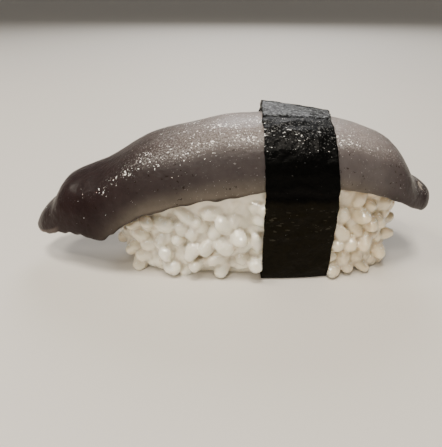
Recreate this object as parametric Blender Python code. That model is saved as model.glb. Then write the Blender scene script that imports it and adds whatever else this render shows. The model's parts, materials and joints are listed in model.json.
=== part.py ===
"""Nigiri: a pressed block of rice, a thick slab of topping laid over it, and a band of nori.

Units are metres and +Z is up. The slab runs along X, with its long drooping tail at -X and its
short end at +X, and -Y is the front. The origin lies on the board, under the middle of the piece.
"""

import math
import random

import bmesh
import bpy
from mathutils import Matrix, Vector

MM = 0.001

# Gap between pieces that touch on the real food.
GAP = 0.35 * MM

# Edges sharper than this, in degrees, are drawn as creases.
SHARP_ANGLE = 40

# The topping slab. Its sizes along X are pairs of (x, value) in millimetres, read by curve().
SLAB_HALF_LENGTH = 46.5 * MM
SLAB_TIP_ROUNDING = 3.4 * MM
SLAB_LIP = 2.2 * MM
SLAB_LIP_MOST_SHARE = 0.35
SLAB_LIP_DROP = 0.5 * MM
SLAB_STATIONS = 48
SLAB_OUTER_STEPS = 12
SLAB_UNDER_STEPS = 9
SLAB_DOME_POWER = 2.5
CREST = [
    (-46.5, 9.0),
    (-44.7, 11.8),
    (-43.4, 13.1),
    (-42.2, 14.4),
    (-40.7, 15.1),
    (-39.5, 17.3),
    (-38.0, 19.9),
    (-33.0, 22.3),
    (-28.5, 23.8),
    (-18.0, 29.8),
    (-8.8, 32.1),
    (0.0, 34.1),
    (10.0, 34.6),
    (22.0, 33.7),
    (33.5, 30.2),
    (37.2, 27.5),
    (41.3, 21.0),
    (43.2, 19.9),
    (45.0, 19.4),
    (46.5, 18.6),
]
FRONT_EDGE = [
    (-46.5, 7.2),
    (-41.0, 8.6),
    (-36.0, 10.2),
    (-32.4, 10.3),
    (-30.2, 9.6),
    (-28.9, 8.5),
    (-27.6, 10.0),
    (-24.2, 12.4),
    (-22.5, 14.2),
    (-19.0, 16.2),
    (-12.3, 18.2),
    (0.0, 20.6),
    (20.0, 22.8),
    (28.7, 21.4),
    (37.0, 18.0),
    (44.0, 14.8),
    (46.5, 15.0),
]
BACK_EDGE = [
    (-46.5, 7.2),
    (-36.0, 10.6),
    (-26.0, 14.0),
    (-12.3, 18.4),
    (0.0, 20.6),
    (20.0, 22.2),
    (32.0, 19.6),
    (40.0, 16.0),
    (46.5, 15.0),
]
HALF_WIDTH = [
    (-46.5, 3.4),
    (-43.0, 5.8),
    (-38.0, 8.6),
    (-28.5, 12.2),
    (-17.0, 14.0),
    (24.0, 14.0),
    (31.0, 12.6),
    (37.0, 9.4),
    (41.5, 6.2),
    (46.5, 4.4),
]

# How far the middle of the underside stands above the long edges.
HOLLOW = [
    (-46.5, 0.2),
    (-32.0, 1.2),
    (-27.0, 2.6),
    (-21.0, 4.6),
    (0.0, 5.4),
    (24.0, 5.0),
    (36.0, 3.0),
    (42.0, 1.0),
    (46.5, 0.2),
]

# The rice: a bare core that the slab and the band are fitted to, with grains round its sides.
RICE_CENTRE_X = 6.2 * MM
RICE_HALF_LENGTH = 31.4 * MM
RICE_HALF_DEPTH = 12.6 * MM
RICE_PLAN_POWER = 2.6
RICE_AROUND = 44
RICE_TOP_RINGS = 3
# Each pair is (share of the way from the board up to the rim, share of the full outline).
RICE_SIDE = [(0.0, 0.96), (0.12, 1.0), (0.45, 1.0), (0.8, 0.97), (1.0, 0.92)]
RICE_RIM_SCALE = RICE_SIDE[-1][1]

# The grains, in rows round the core.
GRAIN_LENGTH = 5.6 * MM
GRAIN_WIDTH = 2.9 * MM
GRAIN_FLATNESS = 0.9
GRAIN_SIDES = 6
GRAIN_PLUMPNESS = 1.15
GRAIN_PITCH = 4.0 * MM
GRAIN_ROW_HEIGHT = 2.7 * MM
GRAIN_ROW_JITTER = 0.2
GRAIN_PITCH_DRAW = (0.88, 1.12)
GRAIN_LENGTH_DRAW = (0.85, 1.1)
GRAIN_WIDTH_DRAW = (0.88, 1.08)
GRAIN_PROUD_DRAW = (0.5 * MM, 1.5 * MM)
GRAIN_TILT = 0.6
GRAIN_HIGHEST_SHARE = 0.95
GRAIN_FITTING_TRIES = 6
GRAIN_FITTING_DROP = 0.3 * MM
GRAIN_FITTING_SHRINK = 0.94
GRAIN_SLAB_GAP = 1.3 * GAP
GRAIN_BOARD_GAP = 0.05 * MM
GRAIN_SEED = 12

# Steps round the core when grains are spaced out, and the steps that measure its slope.
ROUND_STEPS = 720
SLOPE_ANGLE = 0.02
SLOPE_SHARE = 0.04

# The nori band, which runs under the rice in a shallow groove.
BAND_CENTRE_X = 14.85 * MM
BAND_WIDTH = 15.1 * MM
BAND_THICKNESS = 0.4 * MM
BAND_LENGTHWISE = 48
BAND_STATIONS = 6
BAND_TURN_WEIGHT = 1.0 * MM

# Over the front of the slab's top the band is shifted towards the tail and narrower. These are
# the heights and the depths between which that comes and goes.
BAND_SHIFT = 0.5 * MM
BAND_NARROWING = 0.7 * MM
SHIFT_HEIGHTS = (18 * MM, 31 * MM)
SHIFT_DEPTHS = (-6 * MM, 5 * MM)

# Over the back of the slab's top the band stands off, most at its edge on the side of the tail.
BAND_LIFT = 0.4 * MM
BAND_CURL = 1.5 * MM
LIFT_HEIGHTS = (24 * MM, 32 * MM)
LIFT_DEPTHS = (-4 * MM, 6 * MM)


def clear_scene():
    for obj in list(bpy.data.objects):
        bpy.data.objects.remove(obj)


def curve(pairs, x):
    """The value at x of a smooth curve through pairs in millimetres that never overshoots them."""
    at = [p[0] * MM for p in pairs]
    value = [p[1] * MM for p in pairs]
    x = min(max(x, at[0]), at[-1])
    steps = [b - a for a, b in zip(at, at[1:])]
    slopes = [(b - a) / s for a, b, s in zip(value, value[1:], steps)]
    tangents = [slopes[0]]
    for before, after in zip(slopes, slopes[1:]):
        turns_back = before * after <= 0
        tangents.append(0.0 if turns_back else 2 * before * after / (before + after))
    tangents.append(slopes[-1])
    i = max(k for k in range(len(steps)) if x >= at[k])
    t = (x - at[i]) / steps[i]
    return (
        value[i] * (1 + 2 * t) * (1 - t) ** 2
        + tangents[i] * steps[i] * t * (1 - t) ** 2
        + value[i + 1] * t * t * (3 - 2 * t)
        + tangents[i + 1] * steps[i] * t * t * (t - 1)
    )


def smooth_step(low, high, x):
    t = min(max((x - low) / (high - low), 0.0), 1.0)
    return t * t * (3 - 2 * t)


def signed_power(value, power):
    return math.copysign(abs(value) ** power, value)


class SlabSection:
    """The slab cut across at one x: a domed crescent with a blunt lip along each long edge."""

    def __init__(self, x):
        start = SLAB_HALF_LENGTH - SLAB_TIP_ROUNDING
        into_tip = min(max((abs(x) - start) / SLAB_TIP_ROUNDING, 0.0), 1.0)
        closing = math.sqrt(1 - into_tip * into_tip)
        crest = curve(CREST, x)
        front = curve(FRONT_EDGE, x)
        back = curve(BACK_EDGE, x)
        middle = (crest + (front + back) / 2) / 2
        self.crest = middle + (crest - middle) * closing
        self.front = middle + (front - middle) * closing
        self.back = middle + (back - middle) * closing
        self.half_width = curve(HALF_WIDTH, x) * closing
        self.lip = min(SLAB_LIP, SLAB_LIP_MOST_SHARE * self.half_width)
        self.drop = SLAB_LIP_DROP * closing
        self.hollow = curve(HOLLOW, x) * closing

    def edge(self, y):
        """Height of the long edges, blended from the front one to the back one."""
        share = 0.5 + 0.5 * y / max(self.half_width, 1e-6)
        return self.front + (self.back - self.front) * share

    def dome(self, angle, half_width, crest):
        """(y, z) on a dome of that half width, from its front edge at 0 to its back edge at pi."""
        y = -signed_power(math.cos(angle), 2 / SLAB_DOME_POWER) * half_width
        rise = abs(math.sin(angle)) ** (2 / SLAB_DOME_POWER)
        base = self.edge(y)
        return y, base + (crest - base) * rise

    def top(self, angle):
        return self.dome(angle, self.half_width, self.crest)

    def underside(self, angle):
        return self.dome(angle, self.half_width - self.lip, self.edge(0) + self.hollow)

    def under_height(self, y):
        """Height of the slab's lowest point at y, or infinity past its long edges."""
        if abs(y) > self.half_width:
            return math.inf
        base = self.edge(y)
        share = abs(y) / (self.half_width - self.lip)
        if share >= 1:
            return base - self.drop
        rise = (1 - share**SLAB_DOME_POWER) ** (1 / SLAB_DOME_POWER)
        return base + (self.edge(0) + self.hollow - base) * rise

    def outline(self):
        """The closed outline: over the top from the front, then back along the underside."""
        over = [self.top(math.pi * i / SLAB_OUTER_STEPS) for i in range(SLAB_OUTER_STEPS + 1)]
        turns = [math.pi * (1 - (i + 0.5) / SLAB_UNDER_STEPS) for i in range(SLAB_UNDER_STEPS)]
        lip_y = self.half_width - 0.5 * self.lip
        back_lip = (lip_y, self.back - self.drop)
        front_lip = (-lip_y, self.front - self.drop)
        return over + [back_lip] + [self.underside(turn) for turn in turns] + [front_lip]


def side_scale(share):
    """Share of the full outline at that share of the way up the side of the rice."""
    level = max(k for k in range(len(RICE_SIDE) - 1) if share >= RICE_SIDE[k][0])
    (low, low_scale), (high, high_scale) = RICE_SIDE[level : level + 2]
    return low_scale + (high_scale - low_scale) * (share - low) / (high - low)


def plan_point(angle, scale):
    """A point of the outline of the rice seen from above, at that share of its full size."""
    x = signed_power(math.cos(angle), 2 / RICE_PLAN_POWER) * RICE_HALF_LENGTH * scale
    y = signed_power(math.sin(angle), 2 / RICE_PLAN_POWER) * RICE_HALF_DEPTH * scale
    return RICE_CENTRE_X + x, y


def rice_top(x, y):
    return SlabSection(x).under_height(y) - GAP


def side_point(angle, share):
    """A point on the side of the core, at that share of the way from the board to its rim."""
    x, y = plan_point(angle, side_scale(share))
    rim = rice_top(*plan_point(angle, RICE_RIM_SCALE))
    return Vector((x, y, share * rim))


def core_section(x):
    """(y, z) points of the core cut across at x, without the groove under it."""
    points = []
    for share, scale in RICE_SIDE:
        along = min(abs(x - RICE_CENTRE_X) / (RICE_HALF_LENGTH * scale), 1.0)
        y = (1 - along**RICE_PLAN_POWER) ** (1 / RICE_PLAN_POWER) * RICE_HALF_DEPTH * scale
        for side in (-y, y):
            rim = rice_top(x, side * RICE_RIM_SCALE / scale)
            points.append((side, share * rim))
    return points


def band_share(x):
    """0 at the band's edge on the side of the tail, 1 at its other edge."""
    return 0.5 + (x - BAND_CENTRE_X) / BAND_WIDTH


def band_looseness(y, z):
    """1 where the band stands off the back of the slab's top, 0 where it lies tight."""
    return smooth_step(*LIFT_DEPTHS, y) * smooth_step(*LIFT_HEIGHTS, z)


def band_place(x, y, z):
    """Where a point of a straight band goes once its front is shifted and narrowed."""
    over_front = smooth_step(*SHIFT_HEIGHTS, z) * (1 - smooth_step(*SHIFT_DEPTHS, y))
    return x - (BAND_SHIFT + BAND_NARROWING * band_share(x)) * over_front, y, z


def band_path(x):
    """The way a taut band takes round the rice and slab at x, as (point, outward) pairs.

    In each direction it lies on whatever reaches furthest, and it is lifted where it is loose.
    """
    low = BAND_THICKNESS + GAP
    directions = 4 * BAND_LENGTHWISE
    slab_top = [SlabSection(x).top(2 * math.pi * i / directions) for i in range(directions // 2)]
    wrapped = [(y, max(z, low)) for y, z in core_section(x) + slab_top]
    lift = BAND_LIFT + BAND_CURL * (1 - band_share(x)) ** 2
    path = []
    for i in range(directions):
        angle = -2 * math.pi * i / directions
        out = Vector((math.sin(angle), -math.cos(angle)))
        point = Vector(max(wrapped, key=lambda p: out.dot(Vector(p))))
        path.append((point + out * lift * band_looseness(*point), out))
    return path


def evenly(path, count):
    """Points spread along a closed path of (point, outward) pairs, closer where it turns."""
    closed = path + path[:1]
    turn_weight = BAND_TURN_WEIGHT * BAND_LENGTHWISE / len(path)
    steps = [(b[0] - a[0]).length + turn_weight for a, b in zip(closed, closed[1:])]
    spread, walked, i = [], 0.0, 0
    for k in range(count):
        goal = sum(steps) * k / count
        while walked + steps[i] < goal:
            walked += steps[i]
            i += 1
        share = (goal - walked) / steps[i]
        spread.append([a.lerp(b, share) for a, b in zip(closed[i], closed[i + 1])])
    return spread


def shade(mesh):
    mesh.shade_smooth()
    mesh.set_sharp_from_angle(angle=math.radians(SHARP_ANGLE))


def new_object(name, bm):
    bmesh.ops.recalc_face_normals(bm, faces=bm.faces)
    mesh = bpy.data.meshes.new(name)
    bm.to_mesh(mesh)
    bm.free()
    shade(mesh)
    obj = bpy.data.objects.new(name, mesh)
    bpy.context.scene.collection.objects.link(obj)
    return obj


def bridge(bm, first, second):
    """Faces between two closed rings of the same number of points."""
    for i in range(len(first)):
        j = (i + 1) % len(first)
        bm.faces.new((first[i], first[j], second[j], second[i]))


def fan(bm, ring, point):
    for i, vert in enumerate(ring):
        bm.faces.new((vert, ring[(i + 1) % len(ring)], point))


def set_material(obj, colour, roughness):
    made = bpy.data.materials.new(obj.name)
    made.use_nodes = True
    shader = made.node_tree.nodes["Principled BSDF"]
    shader.inputs["Base Color"].default_value = (*colour, 1.0)
    shader.inputs["Roughness"].default_value = roughness
    shader.inputs["Metallic"].default_value = 0.0
    obj.data.materials.clear()
    obj.data.materials.append(made)


def make_slab():
    bm = bmesh.new()
    rings = []
    for i in range(1, SLAB_STATIONS):
        x = SLAB_HALF_LENGTH * math.sin(math.pi / 2 * (2 * i / SLAB_STATIONS - 1))
        rings.append([bm.verts.new((x, y, z)) for y, z in SlabSection(x).outline()])
    for first, second in zip(rings, rings[1:]):
        bridge(bm, first, second)
    for x, ring in ((-SLAB_HALF_LENGTH, rings[0]), (SLAB_HALF_LENGTH, rings[-1])):
        fan(bm, ring, bm.verts.new((x, 0, SlabSection(x).crest)))
    return new_object("topping_slab", bm)


def make_core():
    """The bare rice: its sides as rings from the board up, then its top under the slab."""
    bm = bmesh.new()
    angles = [2 * math.pi * i / RICE_AROUND for i in range(RICE_AROUND)]
    rings = [[bm.verts.new(side_point(a, share)) for a in angles] for share, _ in RICE_SIDE]
    for k in range(RICE_TOP_RINGS - 1, 0, -1):
        spots = [plan_point(a, RICE_RIM_SCALE * k / RICE_TOP_RINGS) for a in angles]
        rings.append([bm.verts.new((x, y, rice_top(x, y))) for x, y in spots])
    for first, second in zip(rings, rings[1:]):
        bridge(bm, first, second)
    fan(bm, rings[-1], bm.verts.new((RICE_CENTRE_X, 0, rice_top(RICE_CENTRE_X, 0))))
    fan(bm, rings[0], bm.verts.new((RICE_CENTRE_X, 0, 0)))
    return new_object("rice_block", bm)


def make_groove_cutter():
    """What is cut from the bottom of the rice to make room for the band."""
    bm = bmesh.new()
    bmesh.ops.create_cube(bm, size=1.0)
    size = (BAND_WIDTH + 2 * GAP, 4 * RICE_HALF_DEPTH, 2 * (BAND_THICKNESS + GAP))
    bmesh.ops.transform(bm, matrix=Matrix.Diagonal((*size, 1.0)), verts=bm.verts)
    bmesh.ops.translate(bm, vec=(BAND_CENTRE_X, 0, 0), verts=bm.verts)
    return new_object("groove_cutter", bm)


def grain_mesh():
    """One cooked grain of length and width 1 along its own Z: a plump barrel with few sides."""
    bm = bmesh.new()
    bmesh.ops.create_uvsphere(bm, u_segments=GRAIN_SIDES, v_segments=4, radius=0.5)
    for vert in bm.verts:
        between_waist_and_tip = 0.1 < abs(vert.co.z) < 0.45
        if between_waist_and_tip:
            vert.co.x *= GRAIN_PLUMPNESS
            vert.co.y *= GRAIN_PLUMPNESS
    mesh = bpy.data.meshes.new("grain")
    bm.to_mesh(mesh)
    bm.free()
    return mesh


def grain_spots(draw):
    """(angle, share) of each grain, in staggered rows up the sides of the core."""
    angles = [2 * math.pi * i / ROUND_STEPS for i in range(ROUND_STEPS + 1)]
    base = [side_point(angle, 0.4).xy for angle in angles]
    rims = [side_point(angle, 1.0).z for angle in angles]
    for row in range(int(max(rims) / GRAIN_ROW_HEIGHT)):
        start = draw.uniform(-GRAIN_ROW_JITTER, GRAIN_ROW_JITTER) + 0.5 * (row % 2)
        walked = GRAIN_PITCH * start
        for i in range(ROUND_STEPS):
            walked += (base[i + 1] - base[i]).length
            if walked < GRAIN_PITCH:
                continue
            walked -= GRAIN_PITCH * draw.uniform(*GRAIN_PITCH_DRAW)
            level = row + draw.uniform(-GRAIN_ROW_JITTER, GRAIN_ROW_JITTER)
            share = max(GRAIN_WIDTH / 2 + GRAIN_ROW_HEIGHT * level, 0.0) / rims[i]
            from_band = abs(plan_point(angles[i], 1.0)[0] - BAND_CENTRE_X)
            beside_band = from_band > BAND_WIDTH / 2 - GRAIN_WIDTH / 4
            if share < GRAIN_HIGHEST_SHARE and beside_band:
                yield angles[i], share


def grain_frame(draw, angle, share):
    """A grain's place on the side, and the directions of its length, its back and its breadth."""
    spot = side_point(angle, share)
    along = (side_point(angle + SLOPE_ANGLE, share) - spot).normalized()
    upward = (side_point(angle, share + SLOPE_SHARE) - spot).normalized()
    outward = along.cross(upward).normalized()
    turn = draw.uniform(-math.pi / 2, math.pi / 2)
    tilt = draw.uniform(-GRAIN_TILT, GRAIN_TILT)
    flat = along * math.cos(turn) + upward * math.sin(turn)
    lengthwise = (flat * math.cos(tilt) + outward * math.sin(tilt)).normalized()
    breadth = lengthwise.cross(outward).normalized()
    return spot, outward, lengthwise, breadth.cross(lengthwise).normalized(), breadth


def push_off_band(points):
    """How far a grain with these corners has to move along X to lie clear of the band."""
    from_centre = [p.x - band_place(BAND_CENTRE_X, p.y, p.z)[0] for p in points]
    side = math.copysign(1, sum(from_centre))
    return side * max(0.0, BAND_WIDTH / 2 + GAP - min(side * x for x in from_centre))


def under_slab(points):
    return all(p.z < SlabSection(p.x).under_height(p.y) - GRAIN_SLAB_GAP for p in points)


def fitted_grain(draw, mesh, angle, share):
    """A grain as a matrix: it is moved down and shortened until it is clear, or left out."""
    spot, outward, lengthwise, back, breadth = grain_frame(draw, angle, share)
    length = GRAIN_LENGTH * draw.uniform(*GRAIN_LENGTH_DRAW)
    width = GRAIN_WIDTH * draw.uniform(*GRAIN_WIDTH_DRAW)
    proud = draw.uniform(*GRAIN_PROUD_DRAW)
    for attempt in range(GRAIN_FITTING_TRIES):
        axes = (breadth * width, back * width * GRAIN_FLATNESS, lengthwise * length)
        turn = Matrix(axes).transposed()
        corners = [turn @ vert.co for vert in mesh.vertices]
        reach = max(corner.dot(outward) for corner in corners)
        centre = spot + outward * (proud - reach)
        lowest = min(corner.z for corner in corners)
        centre.z -= attempt * GRAIN_FITTING_DROP
        centre.z = max(centre.z, GRAIN_BOARD_GAP - lowest)
        centre.x += push_off_band([centre + corner for corner in corners])
        if under_slab([centre + corner for corner in corners]):
            return Matrix.Translation(centre) @ turn.to_4x4()
        length *= GRAIN_FITTING_SHRINK
    return None


def largest_shell(mesh):
    """Leaves only the largest closed shell: scraps are dropped and sealed hollows are filled."""
    bm = bmesh.new()
    bm.from_mesh(mesh)
    unseen = set(bm.faces)
    shells = []
    while unseen:
        shell = []
        reached = [unseen.pop()]
        while reached:
            face = reached.pop()
            shell.append(face)
            near = {other for edge in face.edges for other in edge.link_faces} & unseen
            unseen -= near
            reached += near
        shells.append(shell)
    shells.sort(key=len)
    for shell in shells[:-1]:
        bmesh.ops.delete(bm, geom=shell, context="FACES")
    bm.to_mesh(mesh)
    bm.free()


def make_rice():
    core = make_core()
    cutter = make_groove_cutter()
    draw = random.Random(GRAIN_SEED)
    mesh = grain_mesh()
    grains = bpy.data.collections.new("grains")
    for angle, share in grain_spots(draw):
        place = fitted_grain(draw, mesh, angle, share)
        if place:
            grain = bpy.data.objects.new("grain", mesh)
            grain.matrix_world = place
            grains.objects.link(grain)
    bpy.context.scene.collection.children.link(grains)
    groove = core.modifiers.new("groove", "BOOLEAN")
    groove.operation = "DIFFERENCE"
    groove.object = cutter
    groove.solver = "EXACT"
    join = core.modifiers.new("grains", "BOOLEAN")
    join.operation = "UNION"
    join.operand_type = "COLLECTION"
    join.collection = grains
    join.solver = "EXACT"
    bpy.context.view_layer.update()
    graph = bpy.context.evaluated_depsgraph_get()
    joined = bpy.data.meshes.new_from_object(core.evaluated_get(graph))
    core.modifiers.clear()
    core.data = joined
    largest_shell(joined)
    shade(joined)
    for helper in [cutter, *grains.objects]:
        bpy.data.objects.remove(helper)
    bpy.data.collections.remove(grains)
    return core


def make_band():
    """The band as one closed ring: over its outer face one way, then back over its inner one."""
    bm = bmesh.new()
    outer, inner = [], []
    for i in range(BAND_STATIONS):
        x = BAND_CENTRE_X + BAND_WIDTH * (i / (BAND_STATIONS - 1) - 0.5)
        path = evenly(band_path(x), BAND_LENGTHWISE)
        for face, offset in ((outer, GAP + BAND_THICKNESS), (inner, GAP)):
            spots = [point + out * offset for point, out in path]
            face.append([bm.verts.new(band_place(x, y, max(z, 0.0))) for y, z in spots])
    across = outer + inner[::-1]
    rings = [[line[k] for line in across] for k in range(BAND_LENGTHWISE)]
    for first, second in zip(rings, rings[1:] + rings[:1]):
        bridge(bm, first, second)
    return new_object("nori_band", bm)


def main():
    clear_scene()
    set_material(make_slab(), (0.13, 0.10, 0.105), 0.3)
    set_material(make_rice(), (0.72, 0.68, 0.60), 0.35)
    set_material(make_band(), (0.012, 0.011, 0.009), 0.5)


main()
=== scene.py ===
# %% [markdown]
# # A nigiri with a translucent topping and a band of nori
#
# The piece is built in three layers: a block of pressed rice, a plump slab of topping laid over
# it, and a band of nori round both. Each cell below makes what those solids leave out, in their
# exact place.

# %% Load the frame
import json
import math

import bmesh
import bpy
import numpy as np
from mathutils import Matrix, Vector, noise

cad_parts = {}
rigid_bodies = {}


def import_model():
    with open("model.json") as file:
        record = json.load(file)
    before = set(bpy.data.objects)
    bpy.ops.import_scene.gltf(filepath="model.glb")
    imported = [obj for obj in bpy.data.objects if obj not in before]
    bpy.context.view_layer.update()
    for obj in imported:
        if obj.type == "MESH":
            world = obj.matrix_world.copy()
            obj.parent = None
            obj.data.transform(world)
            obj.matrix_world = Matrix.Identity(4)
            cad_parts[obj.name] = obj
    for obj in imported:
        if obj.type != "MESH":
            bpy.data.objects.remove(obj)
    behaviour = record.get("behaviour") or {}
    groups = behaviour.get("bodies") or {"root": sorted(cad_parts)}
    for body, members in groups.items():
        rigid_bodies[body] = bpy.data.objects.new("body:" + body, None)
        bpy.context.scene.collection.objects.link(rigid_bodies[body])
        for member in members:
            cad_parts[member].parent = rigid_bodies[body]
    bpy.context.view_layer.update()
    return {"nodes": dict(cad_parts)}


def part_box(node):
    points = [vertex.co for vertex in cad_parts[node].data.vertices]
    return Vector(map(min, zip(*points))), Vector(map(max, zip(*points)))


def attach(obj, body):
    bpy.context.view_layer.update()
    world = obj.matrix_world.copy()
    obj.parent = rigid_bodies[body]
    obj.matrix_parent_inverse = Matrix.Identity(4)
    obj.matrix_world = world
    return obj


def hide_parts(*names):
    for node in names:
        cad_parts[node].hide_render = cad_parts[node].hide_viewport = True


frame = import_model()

MM = 0.001


# %% [markdown]
# ## Helpers for meshes
#
# A solid's mesh comes in as loose triangles. Merging its doubles and pairing its triangles into
# quads gives a mesh that a subdivision surface can smooth. Numpy moves thousands of points
# at once, and Perlin noise gives bumps that look natural because they have no pattern.

# %% A merged copy of a solid
MERGE_DISTANCE = 0.002 * MM


def merged_copy(node_name, piece_name):
    """A new piece from a solid's mesh, with its points joined and its triangles paired."""
    bm = bmesh.new()
    bm.from_mesh(frame["nodes"][node_name].data)
    bmesh.ops.remove_doubles(bm, verts=bm.verts, dist=MERGE_DISTANCE)
    widest = {"angle_face_threshold": math.pi, "angle_shape_threshold": math.pi}
    bmesh.ops.join_triangles(bm, faces=bm.faces, **widest)
    mesh = bpy.data.meshes.new(piece_name)
    bm.to_mesh(mesh)
    bm.free()
    piece = bpy.data.objects.new(piece_name, mesh)
    bpy.context.scene.collection.objects.link(piece)
    return piece


# %% Modifiers turned into plain meshes
def settle(piece):
    """Turns what the modifiers make into the piece's own mesh, and removes them."""
    bpy.context.view_layer.update()
    graph = bpy.context.evaluated_depsgraph_get()
    mesh = bpy.data.meshes.new_from_object(piece.evaluated_get(graph))
    piece.modifiers.clear()
    piece.data = mesh
    return piece


def subdivide(piece, levels):
    smoother = piece.modifiers.new("subdivision", "SUBSURF")
    smoother.levels = smoother.render_levels = levels
    return settle(piece)


# %% Points, normals and noise as arrays
SEED_SHIFT = 31.7


def points_of(piece):
    flat = np.empty(len(piece.data.vertices) * 3, np.float32)
    piece.data.vertices.foreach_get("co", flat)
    return flat.reshape(-1, 3).astype(float)


def normals_of(piece):
    flat = np.empty(len(piece.data.vertices) * 3, np.float32)
    piece.data.vertex_normals.foreach_get("vector", flat)
    return flat.reshape(-1, 3).astype(float)


def move_points(piece, points):
    piece.data.vertices.foreach_set("co", points.astype(np.float32).ravel())
    piece.data.update()


def rough(points, wavelength, seed, stretch=(1, 1, 1)):
    """Perlin noise between about -1 and 1 at each point, with bumps of that wavelength."""
    scaled = points / (np.array(stretch) * wavelength) + SEED_SHIFT * seed
    return np.array([noise.noise(p) for p in scaled])


def step(low, high, values):
    """0 at low, 1 at high, and a smooth rise between."""
    t = np.clip((values - low) / (high - low), 0, 1)
    return t * t * (3 - 2 * t)


def bell(values, middle, spread):
    """1 at the middle, and less and less further than the spread from it."""
    return np.exp(-(((values - middle) / spread) ** 2))


def nearness(points, place, radius):
    """1 at a place given in mm, and less and less further than the radius from it."""
    gaps = points - np.array(place) * MM
    return np.exp(-np.sum(gaps**2, axis=1) / (radius * MM) ** 2)


def noise_relief(points, kind, seed, stretch=(1, 1, 1)):
    """Noise of a kind, which is its wavelength and its depth."""
    wavelength, depth = kind
    return depth * rough(points, wavelength, seed, stretch)


# %% Attributes, triangles and neighbours
def add_attribute(piece, name, values):
    made = piece.data.attributes.new(name, "FLOAT", "POINT")
    made.data.foreach_set("value", values.astype(np.float32))


def triangles(piece):
    return sum(len(face.vertices) - 2 for face in piece.data.polygons)


def neighbourhood(piece, points, rounds):
    """Each point moved to the middle of its neighbours, that many times."""
    ends = np.empty(len(piece.data.edges) * 2, np.int32)
    piece.data.edges.foreach_get("vertices", ends)
    near, far = ends.reshape(-1, 2).T
    here = np.concatenate([near, far])
    there = np.concatenate([far, near])
    count = np.maximum(np.bincount(here, minlength=len(points)), 1)
    for _ in range(rounds):
        sums = [np.bincount(here, points[there, i], len(points)) for i in range(3)]
        points = np.column_stack(sums) / count[:, None]
    return points


# %% [markdown]
# ## Helpers for node trees
#
# Materials and Geometry Nodes are both trees of nodes, so one helper serves both: it adds a node,
# sets its options, and fills each input with a number or a link.


# %% One helper for both kinds of tree
def node(tree, kind, inputs=None, **options):
    made = tree.nodes.new(kind)
    for label, value in options.items():
        setattr(made, label, value)
    for label, value in (inputs or {}).items():
        socket = made.inputs[label]
        if isinstance(value, bpy.types.NodeSocket):
            tree.links.new(value, socket)
        else:
            socket.default_value = value
    return made


def mixed(tree, share, first, second, blend="MIX"):
    """First where share is 0, second where it is 1."""
    filled = [(0, share), (6, first), (7, second)]
    options = {"data_type": "RGBA", "blend_type": blend}
    return node(tree, "ShaderNodeMix", dict(filled), **options).outputs[2]


def ramp(tree, value, low, high):
    """0 at low, 1 at high, and a smooth rise between. High may be the smaller of the two."""
    inputs = {0: value, 1: low, 2: high}
    return node(tree, "ShaderNodeMapRange", inputs, interpolation_type="SMOOTHSTEP").outputs[0]


def maths(tree, operation, first, second=0.5):
    """The second value plays no part in an operation that needs only one."""
    return node(tree, "ShaderNodeMath", {0: first, 1: second}, operation=operation).outputs[0]


def tinted(tree, colour, mask, share, over, blend="MIX"):
    """The colour with another over it, at that share of its strength where the mask is 1."""
    return mixed(tree, maths(tree, "MULTIPLY", mask, share), colour, over, blend)


def stretched(tree, place, scale):
    """The same place on other scales, for scraps that are longer one way than the other."""
    return node(tree, "ShaderNodeMapping", {"Vector": place, "Scale": scale}).outputs[0]


def distance_to(tree, place, spot):
    inputs = {0: place, 1: spot}
    return node(tree, "ShaderNodeVectorMath", inputs, operation="DISTANCE").outputs["Value"]


# %% A material to start from
def new_material(name, **numbers):
    """A material whose even values sit on the shader itself. Returns it, its tree and shader."""
    made = bpy.data.materials.new(name)
    made.use_nodes = True
    shader = made.node_tree.nodes["Principled BSDF"]
    for label, value in numbers.items():
        shader.inputs[label.replace("_", " ")].default_value = value
    return made, made.node_tree, shader


def noise_texture(tree, place, wavelength, detail=3.0):
    """Cloudy values round 0.5, with clouds of that size."""
    inputs = {"Vector": place, "Scale": 1 / wavelength, "Detail": detail}
    return node(tree, "ShaderNodeTexNoise", inputs).outputs["Fac"]


def bumped(tree, height, distance, normal=None):
    """A normal bent by a height map that is distance deep."""
    inputs = {"Height": height, "Distance": distance, "Strength": 1.0}
    if normal:
        inputs["Normal"] = normal
    return node(tree, "ShaderNodeBump", inputs).outputs[0]


def attribute(tree, name):
    return node(tree, "ShaderNodeAttribute", attribute_name=name).outputs["Fac"]


# %% Ragged scraps of another colour
SCRAP_EDGE = 0.05
SCRAP_DETAIL = 2.0


def speckled(tree, colour, place, zone, kind, over, fade=None):
    """The colour with ragged scraps of another over it, more of them where zone is higher.

    A kind is the size of the scraps, the level that the noise has to pass where zone is 0 and
    where it is 1, and the strength of the scraps.
    """
    size, rarest, commonest, strength = kind
    grain = noise_texture(tree, place, size, SCRAP_DETAIL)
    level = node(tree, "ShaderNodeMapRange", {0: zone, 3: rarest, 4: commonest}).outputs[0]
    scraps = ramp(tree, maths(tree, "SUBTRACT", grain, level), 0.0, SCRAP_EDGE)
    if fade:
        scraps = maths(tree, "MULTIPLY", scraps, fade)
    return tinted(tree, colour, scraps, strength, over)


# %% [markdown]
# ## The camera, the table and the light
#
# The camera looks slightly down on the front, from close by. The piece lies on a plain pale
# table. Wet food is all highlights, and a highlight is a picture of a light. The lamps above, at
# the left and behind give the sheen on top, and a very small one gives the grains sharp glints.
# The broad lamp in front only fills the shadows. It is kept out of reflections, where it would
# draw a pale band along the topping.

# %% Camera
CAMERA_PLACE = Vector((-1.8, -94.3, 57.5)) * MM
CAMERA_PITCH = math.radians(27.87)
SENSOR_WIDTH = 36.0
LENS = 34.95

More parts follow.
